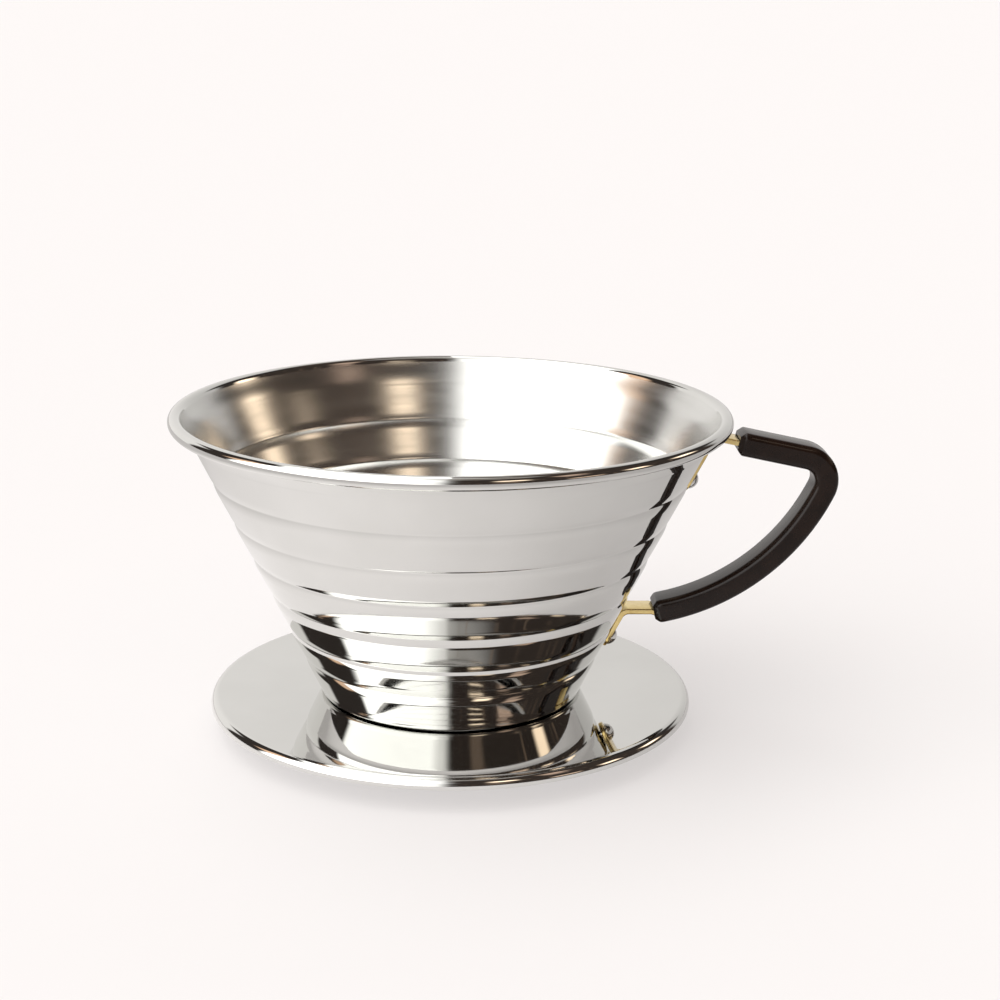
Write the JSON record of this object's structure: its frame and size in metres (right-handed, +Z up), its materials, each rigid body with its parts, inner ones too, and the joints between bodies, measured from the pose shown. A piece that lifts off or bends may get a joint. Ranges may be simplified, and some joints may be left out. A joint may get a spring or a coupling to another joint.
{
  "type": "pour over coffee dripper",
  "caption": "Ringed steel cone dripper on a round saucer plate with a mug collar, and a curved dark grip on a riveted brass strap.",
  "frame": {"origin": "on the cone's axis, level with the lower edge of the collar that drops into the mug's mouth", "axes": "+Z up along the cone's axis, +X from the cone's axis out through the handle, +Y across the handle"},
  "size_m": [0.1386, 0.116, 0.0682],
  "materials": {
    "cup_steel": "stainless steel, mirror-polished outside and finely turned inside",
    "plate_steel": "mirror-polished stainless steel",
    "grip_resin": "gloss, dark brown phenolic resin",
    "strap_brass": "satin",
    "lower_rivet_steel": "polished stainless steel",
    "upper_rivet_steel": "polished stainless steel"
  },
  "bodies": {
    "root": {"cup_body": "cup_steel", "base_plate": "plate_steel", "handle_grip": "grip_resin", "handle_strap": "strap_brass", "lower_rivet": "lower_rivet_steel", "upper_rivet": "upper_rivet_steel"}
  },
  "joints": []
}
